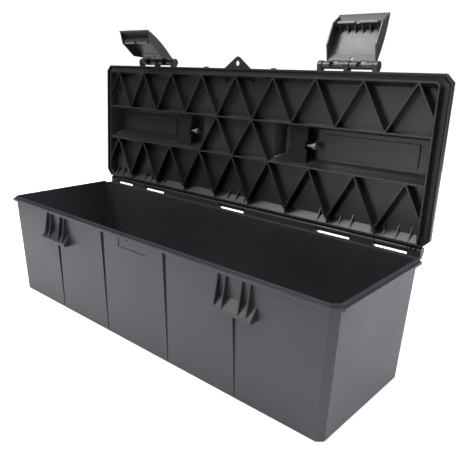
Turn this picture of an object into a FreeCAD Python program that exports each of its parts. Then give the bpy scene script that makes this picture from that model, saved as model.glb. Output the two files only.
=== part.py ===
import FreeCAD, Part
import math
import os

# Long moulded toolbox with a hinged lid, two over-centre latches and two
# tool clamps inside the lid.  Millimetres, +Z up, +X to the right along the
# box, -Y to the front.  The origin is at the centre of the flat base.
# The lid and the latches are drawn closed and are then turned to the open
# pose in which the box is stored in the library.

V = FreeCAD.Vector

# --- box ------------------------------------------------------------------
BASE_HALF_X = 484.0          # outer half length at the base
BASE_HALF_Y = 145.5          # outer half depth at the base
WALL_TOP_Z = 252.0           # where the wall meets the rim flange
WALL_HALF_X = 498.0
WALL_HALF_Y = 152.5
WALL = 4.0                   # wall thickness
FLOOR = 4.0
BASE_CORNER = 11.0           # 45 degree corner chamfer at the base
WALL_CORNER = 13.0
BASE_EDGE_ROUND = 3.0

FLANGE_TOP_Z = 257.0
FLANGE_HALF_X = 506.5
FLANGE_HALF_Y = 160.5
FLANGE_CORNER = 17.0
LIP_TOP_Z = 261.5
LIP_HALF_X = 500.0
LIP_HALF_Y = 154.0
LIP_CORNER = 13.0
CAVITY_TOP_HALF_X = 495.5
CAVITY_TOP_HALF_Y = 149.5
BACK_LIP_Y = 141.0            # behind this the lip is low, under the hinge wall of the lid
BACK_LIP_Z = 258.3

GROOVE_XS = (-291.0, -104.0, 104.0, 291.0)
GROOVE_TOP_WIDTH = 12.0
GROOVE_BASE_WIDTH = 4.0
GROOVE_TOP_DEPTH = 4.2
GROOVE_BASE_DEPTH = 1.0
GROOVE_BASE_Z = 6.0
GROOVE_BACK_EXTRA = 5.0      # the ridge behind a groove is this much wider each side
GROOVE_BACK_DEPTH = 4.6
GROOVE_BACK_TOP_Z = 249.0    # below the ring wall of the closed lid

HASP_HALF_X = 47.0
HASP_LOW_Z = 227.0
HASP_DEPTH = 1.2
HASP_DIMPLE_X = -18.0
HASP_DIMPLE_RADIUS = 3.0
HASP_DIMPLE_BELOW = 5.0      # dimple centre below the flange

# --- catches on the front wall ----------------------------------------------
LATCH_X = 290.5              # centre of each latch and catch
CATCH_HALF_X = 51.0
CATCH_FRONT_Y = -167.5
CATCH_BOTTOM_Z = 181.0
CATCH_FRONT_Z = 187.5        # top of the front lip
CATCH_WALL_Z = 208.0         # where the ramp meets the wall
FIN_TOP_Z = 249.0
FIN_TOP_Y = -155.5
FIN_OFFSETS = (-38.5, -19.5, 19.5, 38.5)
FIN_THICK = 3.0

# --- hinge ------------------------------------------------------------------
HINGE_Y = 171.5
HINGE_Z = 268.5
BARREL_RADIUS = 8.3
ROD_RADIUS = 2.5
ROD_HOLE_RADIUS = 2.56
ROD_HALF_X = 490.0
PLUG_RADIUS = 3.6
PLUG_LENGTH = 4.0
KNUCKLES = ((0.0, 41.0), (295.0, 41.4), (429.0, 36.0))   # lid knuckle centre, half width
KNUCKLE_GAP = 1.0
BARREL_END_X = 494.0
APRON_Y = 168.0              # the flange reaches back to here under the knuckles
KNUCKLE_ARM_Z = 267.5        # the lid knuckles are joined to the lid above this height
END_CORES = ((471.0, 475.5), (480.0, 485.0))   # pockets that show the rod in each end barrel
END_CORE_REACH = 2.0         # how far past the axis they are cut
STOP_XS = (80.0, 215.0)
STOP_HALF_X = 12.0
STOP_TOP_Z = 287.0
LID_OPEN_DEG = 92.64

# --- lid, drawn closed --------------------------------------------------------
RIM_Z = 257.3
RIM_SHOULDER_Z = 266.5
RIM_TOP_Z = 269.0
RIM_HALF_X = 509.0
RIM_FRONT_Y = -163.0
RIM_BACK_Y = 162.0
RIM_CORNER = 15.0
RIM_WALL = 3.5
RIM_EDGE = 2.5
RING_Z = 251.5               # lower edge of the inner ring wall and of the ribs
RING_HALF_X = 488.5
RING_FRONT_Y = -148.5
RING_BACK_Y = 147.0
RING_CORNER = 5.0
SKIN_TOP_Z = 275.0
SKIN = 3.5
DRAFT = 0.40                 # sideways slope of the lid walls per unit of height
GROOVE_CEILING_Z = 266.0
HINGE_WALL = ((130.0, 258.6), (162.0, 258.6), (162.0, 266.0), (159.7, 269.0), (151.2, 269.3),
              (145.5, 275.0), (130.0, 275.0))                  # (y, z) outside, along the hinge
HINGE_LEDGE = ((120.0, 250.0), (157.2, 250.0), (157.2, 258.6), (143.2, 271.5), (120.0, 271.5))
HINGE_WALL_BACK_Y = 170.0    # the blocks that trim the hinge wall reach past the rim
LIP_GAP_Y = (147.0, 157.2)   # room for the low back lip under the hinge wall

RIB = 3.2                    # thickness of the lattice ribs
RIB_PITCH = 112.0
FOOT = 7.6                   # width of the step along the foot of each rib
FOOT_HEIGHT = 2.6
ROW_YS = (-146.0, -48.0, 43.2, 145.0)  # front, upper, lower and hinge-side rib lines
POCKET_INNER_X = 115.0
POCKET_OUTER_X = 479.0
POCKET_FRONT_Y = -43.5
POCKET_BACK_Y = 34.0
POCKET_DEEP = 22.0
POCKET_FRONT_SLOPE = 0.20
PANEL_STEP = 3.0             # step of the raised panel on each pocket floor
PANEL_XS = (238.0, 452.0)
PANEL_YS = (-30.0, 18.0)
GUSSET_CENTRES = (0.0, 295.0, 425.1)
GUSSET_STEP = 27.2
GUSSET_THICK = 2.4
GUSSET = ((157.0, 258.6), (128.0, 272.0), (143.4, 272.0), (158.5, 260.0))
RIB_HEEL = 5.0               # width of the web that carries each rib tip down the hinge ledge
RIB_HEEL_Y = 156.5
LUG_FIN_REACH = 14.0
GATE_X = 12.0
GATE_Y = -18.0
GATE_RADIUS = 15.0

SEAL_HALF = 4.5
SEAL_BOTTOM_Z = 262.0

# --- padlock lug ----------------------------------------------------------------
LUG_HALF_X = 41.0
LUG_TIP_Y = -190.0
LUG_TIP_RADIUS = 9.0
LUG_THICK = 4.0
LUG_HOLE_Y = -174.5
LUG_HOLE_RADIUS = 6.0
NUB_X = 105.0
NUB_HALF_X = 6.0
NUB_REACH = 2.5

# --- latches, drawn latched; r runs down from the pivot, s inwards ---------------
PIVOT_Y = -174.2
PIVOT_Z = 265.0
POST_RADIUS = 9.5
POST_OUTER = (58.5, 68.5)
POST_MIDDLE_HALF = 5.0
PIN_RADIUS = 2.0
PIN_HOLE_RADIUS = 2.06
PIN_HALF_X = 67.5
COVER_HALF_X = 57.0
COVER_WALL = 3.0
COVER_BASE_R = 12.0
COVER_TIP_R = 112.0
COVER_BASE_S = -8.0
COVER_TIP_S = -7.5
COVER_CROWN_S = -12.5        # middle of the bowed outer panel
WALL_KNEES = ((86.0, 12.0), (39.0, 13.0), (14.0, -3.5))
COVER_KNUCKLE_RADIUS = 8.0
COVER_KNUCKLES = ((6.5, 22.0), (41.0, 57.0))
HOOK_R = 84.4                # just under the catch when latched
HOOK_THICK = 5.0
HOOK_S = 12.0
HOOK_NOTCH_HALF_X = 5.0
HOOK_NOTCH_DEPTH = 4.0
HOOK_END_CUT = 10.0          # the ends of the bar slope back to the side walls
HOOK_RIBS = 6
HOOK_RIB_STEP = 17.0
HOOK_RIB_THICK = 2.0
HOOK_RIB_RUN = 12.0
HOOK_RIB_S = 4.0
PEEP_R = 17.0
PEEP_RADIUS = 3.4
HEEL_R = (0.0, 13.0)         # strip that closes the cover behind its pin
HEEL_S = (-8.0, -5.5)
HEEL_WRAP_DEG = 135.0        # from there it wraps round the pin
SILL = ((12.0, -6.0), (26.0, -8.4), (26.0, -6.0), (12.0, -3.8))   # (r, s) of the thick foot of the panel
LEFT_OPEN_DEG = 36.7
RIGHT_OPEN_DEG = 109.5

# --- tool clamps in the lid pockets ------------------------------------------------
CLAMP_X = 182.5
PLATE_HALF_X = 25.5
PLATE_THICK = 3.0
PLATE_Z = 267.0              # face of the plate towards the box
PLATE_OVERLAP_Y = (-47.0, 39.0)  # before its ends are cut to the pocket flanks
NOTCH_Y = -3.0
NOTCH_HALF_Y = 9.0
NOTCH_DEPTH = 5.5
SCREW_Z = 276.0
SCREW_RADIUS = 3.0
SCREW_HOLE_RADIUS = 3.06
SLEEVE_RADIUS = 6.0
KNOB_START = 29.0            # distance of the flared knob from the plate centre
KNOB_LENGTH = 14.5
KNOB_RADIUS = 7.2
NUT_START = 21.0
NUT_LENGTH = 5.0
NUT_RADIUS = 5.5


def loop(x0, x1, y0, y1, z, corner):
    """Closed wire of a rectangle with 45 degree corners at height z."""
    points = [(x0 + corner, y0), (x1 - corner, y0), (x1, y0 + corner), (x1, y1 - corner),
              (x1 - corner, y1), (x0 + corner, y1), (x0, y1 - corner), (x0, y0 + corner)]
    corners = [V(x, y, z) for x, y in points]
    return Part.makePolygon(corners + corners[:1])


def tapered(low, high):
    """Solid between two chamfered rectangles; each is (x0, x1, y0, y1, z, corner)."""
    return Part.makeLoft([loop(*low), loop(*high)], True, True)


def centred(half_x, half_y, z, corner):
    return (-half_x, half_x, -half_y, half_y, z, corner)


def prism_x(points, x0, x1):
    """Extrude a (y, z) outline from x0 to x1."""
    corners = [V(x0, y, z) for y, z in points]
    face = Part.Face(Part.makePolygon(corners + corners[:1]))
    return face.extrude(V(x1 - x0, 0, 0))


def prism_z(points, z0, z1):
    """Extrude an (x, y) outline from z0 to z1."""
    corners = [V(x, y, z0) for x, y in points]
    face = Part.Face(Part.makePolygon(corners + corners[:1]))
    return face.extrude(V(0, 0, z1 - z0))


def rod_x(radius, x0, x1, y, z):
    return Part.makeCylinder(radius, x1 - x0, V(x0, y, z), V(1, 0, 0))


def brick(x0, x1, y0, y1, z0, z1):
    return Part.makeBox(x1 - x0, y1 - y0, z1 - z0, V(x0, y0, z0))


def wall_y(z):
    """Outer front or back half depth of the box wall at height z."""
    return BASE_HALF_Y + (WALL_HALF_Y - BASE_HALF_Y) * z / WALL_TOP_Z


def knuckle_spans():
    """The (x0, x1) span of every lid knuckle, left to right."""
    spans = []
    for centre, half in KNUCKLES:
        for side in ((1,) if centre == 0 else (-1, 1)):
            spans.append((side * centre - half, side * centre + half))
    return sorted(spans)


# ---------------------------------------------------------------- box shell

def box_body():
    wall = tapered(centred(BASE_HALF_X, BASE_HALF_Y, 0, BASE_CORNER),
                   centred(WALL_HALF_X, WALL_HALF_Y, WALL_TOP_Z, WALL_CORNER))
    base_edges = [e for e in wall.Edges if e.BoundBox.ZMax < 0.01]
    wall = wall.makeFillet(BASE_EDGE_ROUND, base_edges)
    flange = tapered(centred(FLANGE_HALF_X, FLANGE_HALF_Y, WALL_TOP_Z, FLANGE_CORNER),
                     centred(FLANGE_HALF_X, FLANGE_HALF_Y, FLANGE_TOP_Z, FLANGE_CORNER))
    lip = tapered(centred(LIP_HALF_X + 1.0, LIP_HALF_Y + 1.0, FLANGE_TOP_Z, LIP_CORNER),
                  centred(LIP_HALF_X, LIP_HALF_Y, LIP_TOP_Z, LIP_CORNER))
    return wall.fuse([flange, lip])


def catch(centre):
    ramp = prism_x([(-wall_y(CATCH_BOTTOM_Z) + 2, CATCH_BOTTOM_Z), (CATCH_FRONT_Y, CATCH_BOTTOM_Z),
                    (CATCH_FRONT_Y, CATCH_FRONT_Z), (-wall_y(CATCH_WALL_Z), CATCH_WALL_Z),
                    (-wall_y(CATCH_WALL_Z) + 2, CATCH_WALL_Z)],
                   centre - CATCH_HALF_X, centre + CATCH_HALF_X)
    fin_outline = [(-wall_y(CATCH_BOTTOM_Z) + 2, CATCH_BOTTOM_Z), (CATCH_FRONT_Y, CATCH_BOTTOM_Z),
                   (CATCH_FRONT_Y, CATCH_FRONT_Z), (FIN_TOP_Y, FIN_TOP_Z),
                   (FIN_TOP_Y, WALL_TOP_Z + 1), (-wall_y(CATCH_BOTTOM_Z) + 2, WALL_TOP_Z + 1)]
    fins = [prism_x(fin_outline, centre + dx - FIN_THICK / 2, centre + dx + FIN_THICK / 2)
            for dx in FIN_OFFSETS]
    return ramp.fuse(fins)


def front_groove(x, top_z, grow, depth_top, depth_base):
    """Wedge along the front wall that narrows and gets shallower downwards."""
    def section(z, width, depth):
        y = -wall_y(z)
        half = width / 2 + grow
        return Part.makePolygon([V(x - half, y - 1, z), V(x - half, y + depth, z),
                                 V(x + half * 0.6, y + depth, z), V(x + half, y - 1, z),
                                 V(x - half, y - 1, z)])
    low = section(GROOVE_BASE_Z, GROOVE_BASE_WIDTH, depth_base)
    high = section(top_z, GROOVE_TOP_WIDTH, depth_top)
    return Part.makeLoft([low, high], True, True)


def groove_top(x):
    return CATCH_BOTTOM_Z if abs(x) > LATCH_X - CATCH_HALF_X else WALL_TOP_Z


def box_hinge():
    """The box-side barrels with their webs, between and beside the lid knuckles."""
    ends = [-BARREL_END_X]
    for x0, x1 in knuckle_spans():
        ends += [x0 - KNUCKLE_GAP, x1 + KNUCKLE_GAP]
    ends.append(BARREL_END_X)
    pieces = [brick(-BARREL_END_X, BARREL_END_X, FLANGE_HALF_Y - 5, APRON_Y, WALL_TOP_Z, FLANGE_TOP_Z)]
    web = [(FLANGE_HALF_Y - 5, WALL_TOP_Z), (HINGE_Y, WALL_TOP_Z),
           (HINGE_Y + BARREL_RADIUS, HINGE_Z - 4), (HINGE_Y + BARREL_RADIUS, HINGE_Z),
           (HINGE_Y - BARREL_RADIUS, HINGE_Z), (HINGE_Y - BARREL_RADIUS, FLANGE_TOP_Z),
           (FLANGE_HALF_Y - 5, FLANGE_TOP_Z)]
    for x0, x1 in zip(ends[::2], ends[1::2]):
        pieces.append(rod_x(BARREL_RADIUS, x0, x1, HINGE_Y, HINGE_Z))
        pieces.append(prism_x(web, x0, x1))
    stop_y = HINGE_Y + 1.9
    tab = [(stop_y, HINGE_Z), (HINGE_Y + BARREL_RADIUS, HINGE_Z),
           (HINGE_Y + BARREL_RADIUS, STOP_TOP_Z), (stop_y + 0.9, STOP_TOP_Z)]
    for x in STOP_XS:
        for side in (-1, 1):
            pieces.append(prism_x(tab, side * x - STOP_HALF_X, side * x + STOP_HALF_X))
    return pieces


def box_shell():
    solid = box_body().fuse([catch(-LATCH_X), catch(LATCH_X)] + box_hinge())
    cavity = tapered(centred(BASE_HALF_X - WALL, BASE_HALF_Y - WALL, FLOOR, BASE_CORNER - 2),
                     centred(CAVITY_TOP_HALF_X, CAVITY_TOP_HALF_Y, LIP_TOP_Z + 1, LIP_CORNER - 2))
    solid = solid.cut(cavity)
    backs = [front_groove(x, min(groove_top(x), GROOVE_BACK_TOP_Z), GROOVE_BACK_EXTRA,
                          GROOVE_BACK_DEPTH + WALL - 1, GROOVE_BASE_DEPTH + WALL)
             for x in GROOVE_XS]
    backs = [b.common(cavity) for b in backs]
    solid = solid.fuse([b for b in backs if b.Volume > 1.0])
    grooves = [front_groove(x, groove_top(x), 0, GROOVE_TOP_DEPTH, GROOVE_BASE_DEPTH)
               for x in GROOVE_XS]
    hasp_y = -wall_y(WALL_TOP_Z)
    hasp = prism_x([(hasp_y - 2, HASP_LOW_Z), (-wall_y(HASP_LOW_Z) + HASP_DEPTH, HASP_LOW_Z),
                    (hasp_y + HASP_DEPTH, WALL_TOP_Z), (hasp_y - 2, WALL_TOP_Z)],
                   -HASP_HALF_X, HASP_HALF_X)
    dimple = Part.makeCylinder(HASP_DIMPLE_RADIUS, 6,
                               V(HASP_DIMPLE_X, hasp_y - 3, WALL_TOP_Z - HASP_DIMPLE_BELOW),
                               V(0, 1, 0))
    rod_hole = rod_x(ROD_HOLE_RADIUS, -BARREL_END_X - 1, BARREL_END_X + 1, HINGE_Y, HINGE_Z)
    plug_seats = [rod_x(PLUG_RADIUS, x, x + PLUG_LENGTH, HINGE_Y, HINGE_Z)
                  for x in (-BARREL_END_X, BARREL_END_X - PLUG_LENGTH)]
    low_back = brick(-LIP_HALF_X - 2, LIP_HALF_X + 2, BACK_LIP_Y, LIP_HALF_Y + 1.4, BACK_LIP_Z, LIP_TOP_Z + 1)
    cores = [brick(min(side * x0, side * x1), max(side * x0, side * x1),
                   HINGE_Y - BARREL_RADIUS - 1, HINGE_Y + END_CORE_REACH,
                   HINGE_Z - END_CORE_REACH, HINGE_Z + BARREL_RADIUS + 1)
             for side in (-1, 1) for x0, x1 in END_CORES]
    return solid.cut(grooves + [hasp, dimple, rod_hole, low_back] + plug_seats + cores)


# ---------------------------------------------------------------- lid shell

def lid_block(z, z_ref, grow):
    """Rectangle of the lid's main wall at height z, grown outwards by grow."""
    inset = (z - z_ref) * DRAFT - grow
    return (-RING_HALF_X + inset, RING_HALF_X - inset, RING_FRONT_Y + inset, RING_BACK_Y - inset,
            z, RING_CORNER)


def lid_cavity():
    return tapered(lid_block(RING_Z, RING_Z, -SKIN), lid_block(SKIN_TOP_Z - SKIN, RING_Z, -SKIN))


def pocket(side, grow):
    """Deep part of a lid pocket; grow = SKIN gives the matching hump outside."""
    z0 = SKIN_TOP_Z - SKIN
    z1 = z0 + POCKET_DEEP + grow
    rise = z1 - z0
    x_in, x_out = POCKET_INNER_X - grow, POCKET_OUTER_X + grow
    slope = DRAFT * rise
    low = [x_in, x_out, POCKET_FRONT_Y - grow, POCKET_BACK_Y + grow]
    high = [x_in + 2 * slope, x_out - slope,
            POCKET_FRONT_Y - grow + POCKET_FRONT_SLOPE * rise, POCKET_BACK_Y + grow - slope]
    if side < 0:
        low[0], low[1] = -low[1], -low[0]
        high[0], high[1] = -high[1], -high[0]
    return tapered(low + [z0 - (0.5 if grow else 0), 3.0], high + [z1, 3.0])


def strip(ax, ay, bx, by, width, z0):
    """Upright strip between two points of the lid plane, from z0 to the lid's floor."""
    dx, dy = bx - ax, by - ay
    length = math.hypot(dx, dy)
    nx, ny = -dy / length * width / 2, dx / length * width / 2
    return prism_z([(ax + nx, ay + ny), (bx + nx, by + ny), (bx - nx, by - ny), (ax - nx, ay - ny)],
                   z0, SKIN_TOP_Z - SKIN + 0.5)


def rib(*ends):
    """Lattice rib with the wider step along its foot."""
    return strip(*ends, RIB, RING_Z).fuse(strip(*ends, FOOT, SKIN_TOP_Z - SKIN - FOOT_HEIGHT))


def lattice():
    front, upper, lower, back = ROW_YS
    half = RIB_PITCH / 2
    ribs = [rib(-RING_HALF_X, upper, RING_HALF_X, upper),
            rib(-RING_HALF_X, lower, RING_HALF_X, lower)]
    for k in range(-4, 5):
        x = k * RIB_PITCH
        for side in (-half, half):
            ribs.append(rib(x, front, x + side, upper))
            ribs.append(rib(x, lower, x + side, back))
    for x in (-half, half):
        ribs.append(rib(x, upper, x - half, lower))
        ribs.append(rib(x, upper, x + half, lower))
    return ribs


def pocket_slopes(side):
    """Sloped flanks that lead from the two long ribs down to a pocket."""
    z0, z1 = RING_Z, SKIN_TOP_Z - SKIN + 0.5
    x0, x1 = sorted((side * POCKET_INNER_X, side * RING_HALF_X))
    upper, lower = ROW_YS[1], ROW_YS[2]
    back = prism_x([(lower, z0), (lower, z1), (POCKET_BACK_Y, z1), (lower - RIB / 2, z0)], x0, x1)
    front = prism_x([(upper, z0), (upper, z1), (POCKET_FRONT_Y, z1), (upper + RIB / 2, z0)], x0, x1)
    return [back, front]


def gussets():
    """Fins that stiffen the hinge ledge over the knuckles, and two behind the padlock lug."""
    top = SKIN_TOP_Z - SKIN + 0.5
    front_fin = [(RING_FRONT_Y + 1, RING_Z), (RING_FRONT_Y + 1, top), (RING_FRONT_Y + SKIN + LUG_FIN_REACH, top)]
    fins = []
    for centre in sorted({side * x for x in GUSSET_CENTRES for side in (-1, 1)}):
        for k in (-1.5, -0.5, 0.5, 1.5):
            x = centre + k * GUSSET_STEP
            fins.append(prism_x(GUSSET, x - GUSSET_THICK / 2, x + GUSSET_THICK / 2))
    for x in (-LUG_HALF_X, LUG_HALF_X):
        fins.append(prism_x(front_fin, x - GUSSET_THICK / 2, x + GUSSET_THICK / 2))
    return fins


def hinge_block(grow):
    """Block as long as the lid's main wall that reaches back past the rim."""
    def section(z):
        x0, x1 = lid_block(z, RING_Z, grow)[:2]
        return (x0, x1, 0, HINGE_WALL_BACK_Y, z, 1.0)
    return tapered(section(RING_Z - 2), section(SKIN_TOP_Z + 2))


def hinge_wall():
    """Sloped wall from the lid's floor down to the rim, instead of a ring wall, along the hinge."""
    return prism_x(HINGE_WALL, -RIM_HALF_X, RIM_HALF_X).common(hinge_block(0))


def rib_heels():
    """Webs that carry the tips of the lower ribs down the hinge ledge to the rim."""
    tips = [(k + 0.5) * RIB_PITCH for k in range(-4, 4)]
    webs = [strip(x, ROW_YS[3] - 2, x, RIB_HEEL_Y, RIB_HEEL, HINGE_WALL[0][1]) for x in tips]
    return [web.common(hinge_wall()) for web in webs]


def hinge_ledge():
    return prism_x(HINGE_LEDGE, -RIM_HALF_X, RIM_HALF_X).common(hinge_block(-SKIN))


def lid_rim():
    outer = (-RIM_HALF_X, RIM_HALF_X, RIM_FRONT_Y, RIM_BACK_Y)
    top = (-RIM_HALF_X + RIM_EDGE, RIM_HALF_X - RIM_EDGE, RIM_FRONT_Y + RIM_EDGE, RIM_BACK_Y - RIM_EDGE)
    band = tapered(outer + (RIM_Z, RIM_CORNER), outer + (RIM_SHOULDER_Z, RIM_CORNER))
    shoulder = tapered(outer + (RIM_SHOULDER_Z, RIM_CORNER), top + (RIM_TOP_Z, RIM_CORNER - 1))
    return band.fuse(shoulder)


def rim_groove():
    """Channel between the rim and the ring wall that takes the lip of the box."""
    z0, z1 = RIM_Z - 1, GROOVE_CEILING_Z
    inner = (-RIM_HALF_X + RIM_WALL, RIM_HALF_X - RIM_WALL,
             RIM_FRONT_Y + RIM_WALL, RIM_BACK_Y - RIM_WALL)
    channel = tapered(inner + (z0, RIM_CORNER - 2), inner + (z1, RIM_CORNER - 2))
    return channel.cut([tapered(lid_block(z0, RING_Z, 0), lid_block(z1, RING_Z, 0)), hinge_block(0)])


def lid_knuckles():
    pieces = []
    arm = [(RIM_BACK_Y - 1, KNUCKLE_ARM_Z), (HINGE_Y, KNUCKLE_ARM_Z),
           (HINGE_Y, HINGE_Z + BARREL_RADIUS), (HINGE_Y - 5, HINGE_Z + BARREL_RADIUS),
           (RIM_BACK_Y - 8, RIM_TOP_Z + 1), (RIM_BACK_Y - 8, RIM_TOP_Z - 3), (RIM_BACK_Y - 1, RIM_TOP_Z - 4)]
    for x0, x1 in knuckle_spans():
        pieces.append(rod_x(BARREL_RADIUS, x0, x1, HINGE_Y, HINGE_Z))
        pieces.append(prism_x(arm, x0, x1))
    return pieces


def latch_posts(centre):
    spans = [(-POST_OUTER[1], -POST_OUTER[0]), (-POST_MIDDLE_HALF, POST_MIDDLE_HALF), POST_OUTER]
    block = [(PIVOT_Y, PIVOT_Z - POST_RADIUS), (PIVOT_Y, PIVOT_Z + POST_RADIUS),
             (RIM_FRONT_Y + 2, RIM_TOP_Z - 0.5), (RIM_FRONT_Y + 2, RIM_Z)]
    pieces = []
    for x0, x1 in spans:
        pieces.append(rod_x(POST_RADIUS, centre + x0, centre + x1, PIVOT_Y, PIVOT_Z))
        pieces.append(prism_x(block, centre + x0, centre + x1))
    return pieces


def padlock_lug():
    """Flat triangular tab with a rounded tip and a shackle hole."""
    base_y = RIM_FRONT_Y + 1
    tip = V(0, LUG_TIP_Y + LUG_TIP_RADIUS, RIM_Z)
    reach = tip.y - base_y
    slope = math.atan2(-reach, LUG_HALF_X) + math.asin(LUG_TIP_RADIUS / math.hypot(reach, LUG_HALF_X))
    tangent_x = LUG_TIP_RADIUS * math.sin(slope)
    tangent_y = tip.y - LUG_TIP_RADIUS * math.cos(slope)
    plate = prism_z([(-LUG_HALF_X, base_y), (LUG_HALF_X, base_y), (tangent_x, tangent_y),
                     (-tangent_x, tangent_y)], RIM_Z, RIM_Z + LUG_THICK)
    nose = Part.makeCylinder(LUG_TIP_RADIUS, LUG_THICK, tip)
    hole = Part.makeCylinder(LUG_HOLE_RADIUS, LUG_THICK + 2, V(0, LUG_HOLE_Y, RIM_Z - 1))
    return plate.fuse(nose), hole


def lid_shell():
    main = tapered(lid_block(RING_Z, RING_Z, 0), lid_block(SKIN_TOP_Z, RING_Z, 0))
    humps = [pocket(side, SKIN) for side in (-1, 1)]
    lug, lug_hole = padlock_lug()
    nubs = [brick(side * NUB_X - NUB_HALF_X, side * NUB_X + NUB_HALF_X,
                  RIM_FRONT_Y - NUB_REACH, RIM_FRONT_Y + 1, RIM_Z + 2, RIM_Z + 7) for side in (-1, 1)]
    solid = main.fuse([lid_rim(), hinge_wall()] + humps)
    lip_gap = brick(-RING_HALF_X - 1, RING_HALF_X + 1, *LIP_GAP_Y, RING_Z - 1, HINGE_WALL[0][1])
    solid = solid.cut([lid_cavity(), rim_groove(), hinge_ledge(), lip_gap])
    inside = main.fuse(humps)
    inner = [piece.common(inside) for piece in lattice() + pocket_slopes(-1) + pocket_slopes(1)]
    inner += gussets() + rib_heels()
    gate = Part.makeCylinder(GATE_RADIUS, 1.0, V(GATE_X, GATE_Y, SKIN_TOP_Z - SKIN - 0.8))
    solid = solid.fuse(inner + [gate] + lid_knuckles() + latch_posts(-LATCH_X)
                       + latch_posts(LATCH_X) + [lug] + nubs)
    deep = [pocket(side, 0) for side in (-1, 1)]
    floor_z = SKIN_TOP_Z - SKIN + POCKET_DEEP
    panels = [brick(*sorted((side * PANEL_XS[0], side * PANEL_XS[1])), *PANEL_YS,
                    floor_z - PANEL_STEP, floor_z + 1) for side in (-1, 1)]
    holes = [rod_x(ROD_HOLE_RADIUS, x0 - 1, x1 + 1, HINGE_Y, HINGE_Z) for x0, x1 in knuckle_spans()]
    holes += [rod_x(PIN_HOLE_RADIUS, side * LATCH_X - PIN_HALF_X, side * LATCH_X + PIN_HALF_X,
                    PIVOT_Y, PIVOT_Z) for side in (-1, 1)]
    return solid.cut(deep + holes + [lug_hole]).fuse(panels)


def lid_seal():
    """Square rubber cord bedded in the roof of the rim groove, at the front and the two ends."""
    outer = (-LIP_HALF_X - 2.3, LIP_HALF_X + 2.3, -LIP_HALF_Y - 2.3, LIP_HALF_Y + 1.5)
    inner = (outer[0] + 2 * SEAL_HALF, outer[1] - 2 * SEAL_HALF,
             outer[2] + 1.6 * SEAL_HALF, outer[3] - 1.6 * SEAL_HALF)
    body = tapered(outer + (SEAL_BOTTOM_Z, LIP_CORNER), outer + (GROOVE_CEILING_Z, LIP_CORNER))
    hollow = tapered(inner + (SEAL_BOTTOM_Z - 1, LIP_CORNER - 3), inner + (GROOVE_CEILING_Z + 1, LIP_CORNER - 3))
    hinge_side = brick(outer[0] - 1, outer[1] + 1, BACK_LIP_Y, HINGE_Y, SEAL_BOTTOM_Z - 1, GROOVE_CEILING_Z + 1)
    return body.cut([hollow, hinge_side])


# ---------------------------------------------------------------- latches

def latch_point(x, r, s):
    return V(x, PIVOT_Y + s, PIVOT_Z - r)


def cover_outline(x, inset):
    """Wire of the side wall: bowed outer edge, then the three knees of the inner edge."""
    base = latch_point(x, COVER_BASE_R, COVER_BASE_S + inset)
    crown = latch_point(x, (COVER_BASE_R + COVER_TIP_R) / 2, COVER_CROWN_S + inset)
    tip = latch_point(x, COVER_TIP_R, COVER_TIP_S + inset)
    return base, crown, tip


def side_wall(x0, x1):
    base, crown, tip = cover_outline(x0, 0)
    knees = [latch_point(x0, r, s) for r, s in WALL_KNEES]
    edges = [Part.Arc(base, crown, tip).toShape()]
    chain = [tip] + knees + [base]
    edges += [Part.makeLine(a, b) for a, b in zip(chain, chain[1:])]
    return Part.Face(Part.Wire(edges)).extrude(V(x1 - x0, 0, 0))


def cover_panel(x0, x1):
    outer = cover_outline(x0, 0)
    inner = cover_outline(x0, COVER_WALL)
    edges = [Part.Arc(*outer).toShape(), Part.makeLine(outer[2], inner[2]),
             Part.Arc(inner[2], inner[1], inner[0]).toShape(), Part.makeLine(inner[0], outer[0])]
    return Part.Face(Part.Wire(edges)).extrude(V(x1 - x0, 0, 0))


def latch_prism(points, x0, x1):
    """Extrude an outline given in (r, s) along x."""
    return prism_x([(PIVOT_Y + s, PIVOT_Z - r) for r, s in points], x0, x1)


def hook(centre):
    """Cross bar that grips under the catch, with its stiffening ribs."""
    inside = COVER_HALF_X - COVER_WALL + 0.5
    back = COVER_CROWN_S + 3.5
    front_y, back_y = PIVOT_Y + HOOK_S, PIVOT_Y + back
    bar = prism_z([(centre - inside, back_y), (centre - inside, front_y - HOOK_END_CUT),
                   (centre - inside + HOOK_END_CUT, front_y), (centre + inside - HOOK_END_CUT, front_y),
                   (centre + inside, front_y - HOOK_END_CUT), (centre + inside, back_y)],
                  PIVOT_Z - HOOK_R - HOOK_THICK, PIVOT_Z - HOOK_R)
    notch = latch_prism([(HOOK_R - 1, HOOK_S - HOOK_NOTCH_DEPTH), (HOOK_R - 1, HOOK_S + 1),
                         (HOOK_R + HOOK_THICK + 1, HOOK_S + 1),
                         (HOOK_R + HOOK_THICK + 1, HOOK_S - HOOK_NOTCH_DEPTH)],
                        centre - HOOK_NOTCH_HALF_X, centre + HOOK_NOTCH_HALF_X)
    ribs = []
    for k in range(HOOK_RIBS):
        x = centre + (k - (HOOK_RIBS - 1) / 2) * HOOK_RIB_STEP
        ribs.append(latch_prism([(HOOK_R - HOOK_RIB_RUN, back), (HOOK_R + 0.5, HOOK_RIB_S),
                                 (HOOK_R + 0.5, back)], x - HOOK_RIB_THICK / 2, x + HOOK_RIB_THICK / 2))
    return bar.cut(notch).fuse(ribs)


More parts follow.
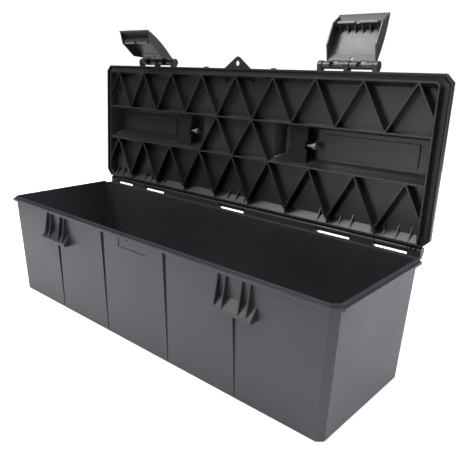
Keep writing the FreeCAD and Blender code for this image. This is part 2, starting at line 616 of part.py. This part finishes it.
def heel(x0, x1):
    """Strip behind the pin that ends in a shell wrapped round it."""
    flat = brick(x0, x1, PIVOT_Y + HEEL_S[0], PIVOT_Y + HEEL_S[1], PIVOT_Z - HEEL_R[1], PIVOT_Z - HEEL_R[0])
    profile = Part.makePolygon([V(x0, PIVOT_Y + HEEL_S[0], PIVOT_Z), V(x1, PIVOT_Y + HEEL_S[0], PIVOT_Z),
                                V(x1, PIVOT_Y + HEEL_S[1], PIVOT_Z), V(x0, PIVOT_Y + HEEL_S[1], PIVOT_Z),
                                V(x0, PIVOT_Y + HEEL_S[0], PIVOT_Z)])
    wrap = Part.Face(profile).revolve(V(0, PIVOT_Y, PIVOT_Z), V(-1, 0, 0), HEEL_WRAP_DEG)
    return flat.fuse(wrap)


def latch_cover(centre):
    left, right = centre - COVER_HALF_X, centre + COVER_HALF_X
    pieces = [side_wall(left, left + COVER_WALL), side_wall(right - COVER_WALL, right), hook(centre)]
    arm = [(0, -COVER_KNUCKLE_RADIUS), (COVER_BASE_R + 4, COVER_BASE_S - 0.4),
           (COVER_BASE_R + 4, COVER_BASE_S + COVER_WALL), (6, -2), (0, 0)]
    for near, far in COVER_KNUCKLES:
        for x0, x1 in ((centre - far, centre - near), (centre + near, centre + far)):
            pieces.append(rod_x(COVER_KNUCKLE_RADIUS, x0, x1, PIVOT_Y, PIVOT_Z))
            pieces.append(latch_prism(arm, x0, x1))
    inner_x = COVER_KNUCKLES[0][0]
    pieces += [heel(left, centre - inner_x), heel(centre + inner_x, right)]
    pieces.append(latch_prism(SILL, left + COVER_WALL - 0.5, right - COVER_WALL + 0.5))
    cover = cover_panel(left, right).fuse(pieces)
    pin_hole = rod_x(PIN_HOLE_RADIUS, left - 1, right + 1, PIVOT_Y, PIVOT_Z)
    peep = Part.makeCylinder(PEEP_RADIUS, 16, V(centre, PIVOT_Y - 14, PIVOT_Z - PEEP_R), V(0, 1, 0))
    return cover.cut([pin_hole, peep])


def latch_pin(centre):
    return rod_x(PIN_RADIUS, centre - PIN_HALF_X + 0.5, centre + PIN_HALF_X - 0.5, PIVOT_Y, PIVOT_Z)


# ---------------------------------------------------------------- tool clamps

def clamp_plate(centre):
    """Notched strap across the pocket, with the sleeve of its screw on the back."""
    front_y, back_y = PLATE_OVERLAP_Y
    plate = brick(centre - PLATE_HALF_X, centre + PLATE_HALF_X, front_y, back_y,
                  PLATE_Z, PLATE_Z + PLATE_THICK)
    plate = plate.cut(pocket_slopes(1 if centre > 0 else -1))
    crease = prism_x([(NOTCH_Y, PLATE_Z - 1), (NOTCH_Y, PLATE_Z + 0.6), (front_y, PLATE_Z),
                      (front_y, PLATE_Z - 1)],
                     centre - PLATE_HALF_X + 8, centre + PLATE_HALF_X - 8)
    notches = [brick(x, x + NOTCH_DEPTH, NOTCH_Y - NOTCH_HALF_Y, NOTCH_Y + NOTCH_HALF_Y,
                     PLATE_Z - 1, PLATE_Z + PLATE_THICK + 1)
               for x in (centre - PLATE_HALF_X, centre + PLATE_HALF_X - NOTCH_DEPTH)]
    reach = PLATE_HALF_X - NOTCH_DEPTH
    sleeve = rod_x(SLEEVE_RADIUS, centre - reach, centre + reach, NOTCH_Y, SCREW_Z)
    web = prism_x([(NOTCH_Y - 3, PLATE_Z + 1), (NOTCH_Y + 3, PLATE_Z + 1), (NOTCH_Y + 3, SCREW_Z),
                   (NOTCH_Y - 3, SCREW_Z)], centre - reach, centre + reach)
    bore = rod_x(SCREW_HOLE_RADIUS, centre - reach - 1, centre + reach + 1, NOTCH_Y, SCREW_Z)
    return plate.cut([crease] + notches).fuse([sleeve, web]).cut(bore)


def clamp_screw(centre):
    """Shaft with a flared knob at its right-hand end."""
    shaft = rod_x(SCREW_RADIUS, centre - NUT_START - NUT_LENGTH, centre + KNOB_START + 1, NOTCH_Y, SCREW_Z)
    flare = Part.makeCone(SCREW_RADIUS, KNOB_RADIUS, KNOB_LENGTH - 4,
                          V(centre + KNOB_START, NOTCH_Y, SCREW_Z), V(1, 0, 0))
    disc_x = centre + KNOB_START + KNOB_LENGTH - 4
    disc = rod_x(KNOB_RADIUS, disc_x, disc_x + 4, NOTCH_Y, SCREW_Z)
    slot = brick(disc_x + 2.5, disc_x + 5, NOTCH_Y - 1, NOTCH_Y + 1, SCREW_Z - 6, SCREW_Z + 6)
    return shaft.fuse([flare, disc]).cut(slot)


def clamp_nut(centre):
    """Hexagon lock nut at the left-hand end of the screw."""
    x0 = centre - NUT_START - NUT_LENGTH
    corners = []
    for k in range(6):
        turn = math.radians(60 * k)
        corners.append((NOTCH_Y + NUT_RADIUS * math.cos(turn), SCREW_Z + NUT_RADIUS * math.sin(turn)))
    nut = prism_x(corners, x0, x0 + NUT_LENGTH)
    return nut.cut(rod_x(SCREW_RADIUS, x0 - 1, x0 + NUT_LENGTH + 1, NOTCH_Y, SCREW_Z))


# ---------------------------------------------------------------- pose and export

def opened(shape, latch_deg=0.0):
    """Turn a lid piece from the closed pose to the stored open pose."""
    shape = shape.copy()
    if latch_deg:
        shape.rotate(V(0, PIVOT_Y, PIVOT_Z), V(1, 0, 0), -latch_deg)
    shape.rotate(V(0, HINGE_Y, HINGE_Z), V(1, 0, 0), -LID_OPEN_DEG)
    return shape


def hinge_rod_plugs():
    return Part.makeCompound([rod_x(PLUG_RADIUS - 0.05, x + 0.1, x + PLUG_LENGTH - 0.1, HINGE_Y, HINGE_Z)
                              for x in (-BARREL_END_X, BARREL_END_X - PLUG_LENGTH)])


def nodes():
    parts = {"box_shell": box_shell(), "hinge_rod": rod_x(ROD_RADIUS, -ROD_HALF_X + 0.2, ROD_HALF_X - 0.2,
                                                          HINGE_Y, HINGE_Z)}
    parts["hinge_rod_plugs"] = hinge_rod_plugs()
    parts["lid_shell"] = opened(lid_shell())
    parts["lid_seal"] = opened(lid_seal())
    for name, side, deg in (("left", -1, LEFT_OPEN_DEG), ("right", 1, RIGHT_OPEN_DEG)):
        parts["latch_cover_" + name] = opened(latch_cover(side * LATCH_X), deg)
        parts["latch_pin_" + name] = opened(latch_pin(side * LATCH_X))
        parts["clamp_plate_" + name] = opened(clamp_plate(side * CLAMP_X))
        parts["clamp_screw_" + name] = opened(clamp_screw(side * CLAMP_X))
        parts["clamp_nut_" + name] = opened(clamp_nut(side * CLAMP_X))
    return parts


os.makedirs("parts", exist_ok=True)
for node, shape in nodes().items():
    shape.exportStep("parts/" + node + ".step")
    print(node, "valid", shape.isValid(), "solids", len(shape.Solids), "volume", round(shape.Volume / 1000), "cm3")
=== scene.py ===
"""Looks for the long toolbox with its lid open: camera, light, floor and materials."""

import math

import bpy
from mathutils import Matrix, Vector

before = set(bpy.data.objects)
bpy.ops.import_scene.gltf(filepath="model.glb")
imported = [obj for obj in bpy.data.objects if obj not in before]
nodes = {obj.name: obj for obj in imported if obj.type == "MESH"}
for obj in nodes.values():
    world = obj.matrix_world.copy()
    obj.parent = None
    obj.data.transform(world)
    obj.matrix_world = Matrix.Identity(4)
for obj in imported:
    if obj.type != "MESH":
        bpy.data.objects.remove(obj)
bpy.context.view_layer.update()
scene = bpy.context.scene

# ---------------------------------------------------------------- camera

AZIMUTH = math.radians(41.14)     # turned to the right of the front
ELEVATION = math.radians(16.48)
ROLL = math.radians(1.26)
DISTANCE = 1.2668                 # from the middle of the box, along the view
SIDE_SHIFT = 0.1128               # the camera stands this far right of that line
RISE_SHIFT = 0.0991               # and this far above it
AIM_HEIGHT = 0.15
SENSOR = 36.0
LENS = 41.614


def add_camera():
    back = Vector((math.sin(AZIMUTH) * math.cos(ELEVATION),
                   -math.cos(AZIMUTH) * math.cos(ELEVATION), math.sin(ELEVATION)))
    right = Vector((0, 0, 1)).cross(back).normalized()
    up = back.cross(right)
    right, up = (math.cos(ROLL) * right + math.sin(ROLL) * up,
                 math.cos(ROLL) * up - math.sin(ROLL) * right)
    data = bpy.data.cameras.new("camera")
    data.sensor_fit = "HORIZONTAL"
    data.sensor_width = SENSOR
    data.lens = LENS
    data.clip_end = 100.0
    camera = bpy.data.objects.new("camera", data)
    scene.collection.objects.link(camera)
    place = Vector((0, 0, AIM_HEIGHT)) + back * DISTANCE + right * SIDE_SHIFT + up * RISE_SHIFT
    turn = Matrix((right, up, back)).transposed()
    camera.matrix_world = Matrix.Translation(place) @ turn.to_4x4()
    scene.camera = camera


# ---------------------------------------------------------------- light

SUN_COLOUR = (0.98, 0.97, 1.04)
SUN_TOWARDS = (0.0, -0.12, 0.98)     # towards the large soft light overhead
SUN_ANGLE = math.radians(60)
SUN_STRENGTH = 4.5
SIDE_TOWARDS = (0.80, 0.30, 0.50)    # a weaker soft light from the right-hand end
SIDE_ANGLE = math.radians(50)
SIDE_STRENGTH = 2.6
SOFTBOX_PLACE = (-1.22, -1.58, 2.57)    # above the front left, shines on the open latch covers
SOFTBOX_AIM = (0.29, 0.17, 0.66)
SOFTBOX_SIZE = (1.3, 1.3)
SOFTBOX_POWER = 75
PANEL_PLACE = (-0.75, -3.0, 0.35)       # low and far in front, lifts the lid's inside a little
PANEL_AIM = (0.4, 0.17, 0.45)
PANEL_SIZE = (1.1, 0.8)
PANEL_POWER = 9
ROOM_COLOUR = (0.95, 0.97, 1.0, 1.0)
ROOM_GLOW = 0.12                     # dim room all round, seen by everything but the camera
BACKDROP = 1.1


def sun_light(name, towards, angle, strength):
    data = bpy.data.lights.new(name, "SUN")
    data.color = SUN_COLOUR
    data.angle = angle
    data.energy = strength
    light = bpy.data.objects.new(name, data)
    scene.collection.objects.link(light)
    light.rotation_euler = Vector(towards).to_track_quat("Z", "Y").to_euler()


def area_light(name, place, aim, size, power):
    data = bpy.data.lights.new(name, "AREA")
    data.shape = "RECTANGLE"
    data.size, data.size_y = size
    data.energy = power
    light = bpy.data.objects.new(name, data)
    scene.collection.objects.link(light)
    light.location = place
    light.rotation_euler = (Vector(place) - Vector(aim)).to_track_quat("Z", "Y").to_euler()


def add_world():
    """White backdrop for the camera, a dim room for everything that it lights."""
    world = bpy.data.worlds.new("studio")
    scene.world = world
    world.use_nodes = True
    tree = world.node_tree
    room = tree.nodes["Background"]
    room.inputs["Color"].default_value = ROOM_COLOUR
    room.inputs["Strength"].default_value = ROOM_GLOW
    backdrop = tree.nodes.new("ShaderNodeBackground")
    backdrop.inputs["Color"].default_value = (1.0, 1.0, 1.0, 1.0)
    backdrop.inputs["Strength"].default_value = BACKDROP
    path = tree.nodes.new("ShaderNodeLightPath")
    choose = tree.nodes.new("ShaderNodeMixShader")
    tree.links.new(path.outputs["Is Camera Ray"], choose.inputs["Fac"])
    tree.links.new(room.outputs["Background"], choose.inputs[1])
    tree.links.new(backdrop.outputs["Background"], choose.inputs[2])
    tree.links.new(choose.outputs["Shader"], tree.nodes["World Output"].inputs["Surface"])


def add_lights():
    sun_light("overhead", SUN_TOWARDS, SUN_ANGLE, SUN_STRENGTH)
    sun_light("side", SIDE_TOWARDS, SIDE_ANGLE, SIDE_STRENGTH)
    area_light("softbox", SOFTBOX_PLACE, SOFTBOX_AIM, SOFTBOX_SIZE, SOFTBOX_POWER)
    area_light("front_panel", PANEL_PLACE, PANEL_AIM, PANEL_SIZE, PANEL_POWER)


# ---------------------------------------------------------------- floor

TABLE_RADIUS = 2.1            # the white table ends here; beyond it the camera sees white too
TABLE_CENTRE = (0.2, 0.5)
TABLE_POINTS = 96
TABLE_WHITE = (0.93, 0.93, 0.93, 1)


def floor_material():
    material = bpy.data.materials.new("floor_white")
    material.use_nodes = True
    shader = material.node_tree.nodes["Principled BSDF"]
    shader.inputs["Base Color"].default_value = TABLE_WHITE
    shader.inputs["Roughness"].default_value = 0.9
    return material


def add_floor():
    centre_x, centre_y = TABLE_CENTRE
    turns = [2 * math.pi * k / TABLE_POINTS for k in range(TABLE_POINTS)]
    rim = [(centre_x + TABLE_RADIUS * math.cos(turn), centre_y + TABLE_RADIUS * math.sin(turn), 0)
           for turn in turns]
    mesh = bpy.data.meshes.new("floor")
    mesh.from_pydata(rim, [], [range(TABLE_POINTS)])
    floor = bpy.data.objects.new("floor", mesh)
    scene.collection.objects.link(floor)
    floor.data.materials.append(floor_material())


# ---------------------------------------------------------------- node helpers

COLOUR_A, COLOUR_B = 6, 7      # a Mix node's two colour inputs
MIXED_COLOUR = 2               # and its colour output


def start_material(name):
    """A new material, its maker of nodes, its shader and its maker of links."""
    material = bpy.data.materials.new(name)
    material.use_nodes = True
    tree = material.node_tree
    return material, node_maker(tree), tree.nodes["Principled BSDF"], tree.links.new


def node_maker(tree):
    def make(kind, values=None, links=None, **settings):
        node = tree.nodes.new(kind)
        for key, value in settings.items():
            setattr(node, key, value)
        for key, value in (values or {}).items():
            node.inputs[key].default_value = value
        for key, source in (links or {}).items():
            tree.links.new(source, node.inputs[key])
        return node
    return make


def colour_mix(make, first, second, factor):
    """Mix two colours, each an (r, g, b) or another node's output."""
    mix = make("ShaderNodeMix", {}, {"Factor": factor}, data_type="RGBA")
    for slot, colour in ((COLOUR_A, first), (COLOUR_B, second)):
        if isinstance(colour, tuple):
            mix.inputs[slot].default_value = (*colour, 1)
        else:
            mix.id_data.links.new(colour, mix.inputs[slot])
    return mix.outputs[MIXED_COLOUR]


def remap(make, source, start, end, low, high):
    """Carry source from the range start..end to the range low..high."""
    node = make("ShaderNodeMapRange", {"From Min": start, "From Max": end, "To Min": low, "To Max": high},
                {"Value": source})
    return node.outputs["Result"]


def noise(make, place, scale, detail, roughness=0.5):
    node = make("ShaderNodeTexNoise", {"Scale": scale, "Detail": detail, "Roughness": roughness},
                {"Vector": place})
    return node.outputs["Fac"]


# ---------------------------------------------------------------- materials

PATCH_RANGE = (0.7, 1.3)       # what the two added noises mostly span
SCUFF_PALE = 1.8               # a scuff is this much paler than the plastic
GRAIN_DEPTH = 0.00004          # of the fine grain, in metres


def scuffs(make, place):
    """A few thin slanting streaks, mostly 0, up to 0.5 where the plastic is rubbed."""
    stretched = make("ShaderNodeMapping", {"Scale": (4.0, 60.0, 90.0), "Rotation": (0.2, 0.5, 0.9)},
                     {"Vector": place})
    streak = noise(make, stretched.outputs["Vector"], 3.0, 6.0, 0.7)
    return remap(make, streak, 0.62, 0.8, 0.0, 0.5)


def grained_normal(make, coords, speck, edge, end_grain):
    """Rounded edges and fine grain, with coarser grain on the faces that look along X."""
    fine = noise(make, coords.outputs["Object"], 900.0, 2.0)
    rounded = make("ShaderNodeBevel", {"Radius": edge}, samples=4)
    grain = make("ShaderNodeBump", {"Strength": 1.0, "Distance": GRAIN_DEPTH},
                 {"Height": fine, "Normal": rounded.outputs["Normal"]})
    if not end_grain:
        return grain.outputs["Normal"]
    facing = make("ShaderNodeSeparateXYZ", {}, {"Vector": coords.outputs["Normal"]})
    along = make("ShaderNodeMath", {}, {0: facing.outputs["X"]}, operation="ABSOLUTE")
    mask = remap(make, along.outputs["Value"], 0.85, 0.97, 0.0, 1.0)
    coarse = make("ShaderNodeBump", {"Distance": end_grain},
                  {"Height": speck, "Normal": grain.outputs["Normal"], "Strength": mask})
    return coarse.outputs["Normal"]


def moulded(name, dark, light, rough, specular=0.5, edge=0.0008, end_grain=0.0):
    """Injection moulded plastic: fine grain, uneven colour, faint scuffs, softly rounded edges.

    edge is the radius of the edges and end_grain the depth of the coarser grain, in metres.
    """
    material, make, shader, link = start_material(name)
    coords = make("ShaderNodeTexCoord")
    place = coords.outputs["Object"]
    cloud = noise(make, place, 5.0, 4.0, 0.6)
    speck = noise(make, place, 260.0, 3.0, 0.6)
    patchy = make("ShaderNodeMath", {}, {0: cloud, 1: speck}, operation="ADD").outputs["Value"]
    base = colour_mix(make, dark, light, remap(make, patchy, *PATCH_RANGE, 0.0, 1.0))
    pale = tuple(SCUFF_PALE * tone for tone in light)
    link(colour_mix(make, base, pale, scuffs(make, place)), shader.inputs["Base Color"])
    link(remap(make, patchy, *PATCH_RANGE, rough - 0.06, rough + 0.07), shader.inputs["Roughness"])
    link(grained_normal(make, coords, speck, edge, end_grain), shader.inputs["Normal"])
    shader.inputs["Specular IOR Level"].default_value = specular
    return material


def steel(name, tone, rough):
    """Drawn steel wire, with fine streaks along X."""
    material, make, shader, link = start_material(name)
    place = make("ShaderNodeTexCoord").outputs["Object"]
    along = make("ShaderNodeMapping", {"Scale": (30.0, 900.0, 900.0)}, {"Vector": place})
    drawn = noise(make, along.outputs["Vector"], 1.0, 3.0)
    dull = (tone * 0.8, tone * 0.8, tone * 0.82)
    link(colour_mix(make, dull, (tone, tone, tone), drawn), shader.inputs["Base Color"])
    shader.inputs["Metallic"].default_value = 1.0
    link(remap(make, drawn, 0.0, 1.0, rough - 0.06, rough + 0.06), shader.inputs["Roughness"])
    return material


# ---------------------------------------------------------------- pieces

def paint(node, material):
    mesh = nodes[node].data
    mesh.materials.clear()
    mesh.materials.append(material)


def paint_pieces():
    body = moulded("box_plastic", (0.015, 0.015, 0.018), (0.023, 0.023, 0.026), 0.42,
                   specular=0.38, end_grain=0.0009)
    lid = moulded("lid_plastic", (0.009, 0.009, 0.011), (0.014, 0.014, 0.016), 0.34, edge=0.0009)
    latch = moulded("latch_plastic", (0.020, 0.020, 0.022), (0.028, 0.028, 0.030), 0.36)
    clamp = moulded("clamp_plastic", (0.006, 0.006, 0.007), (0.009, 0.009, 0.010), 0.55, specular=0.16)
    knob = moulded("knob_plastic", (0.16, 0.17, 0.165), (0.22, 0.22, 0.22), 0.3)
    nut_black = moulded("nut_plastic", (0.010, 0.010, 0.010), (0.014, 0.014, 0.014), 0.5)
    rubber = moulded("seal_rubber", (0.008, 0.008, 0.008), (0.012, 0.012, 0.012), 0.7)
    wire = steel("rod_steel", 0.6, 0.3)
    pin_black = steel("pin_blackened_steel", 0.05, 0.42)
    paint("box_shell", body)
    paint("lid_shell", lid)
    paint("lid_seal", rubber)
    paint("hinge_rod", wire)
    paint("hinge_rod_plugs", latch)
    for side in ("left", "right"):
        paint("latch_cover_" + side, latch)
        paint("latch_pin_" + side, pin_black)
        paint("clamp_plate_" + side, clamp)
        paint("clamp_screw_" + side, knob)
        paint("clamp_nut_" + side, nut_black)


add_camera()
add_world()
add_lights()
add_floor()
paint_pieces()
scene.view_settings.view_transform = "Standard"
scene.view_settings.look = "None"
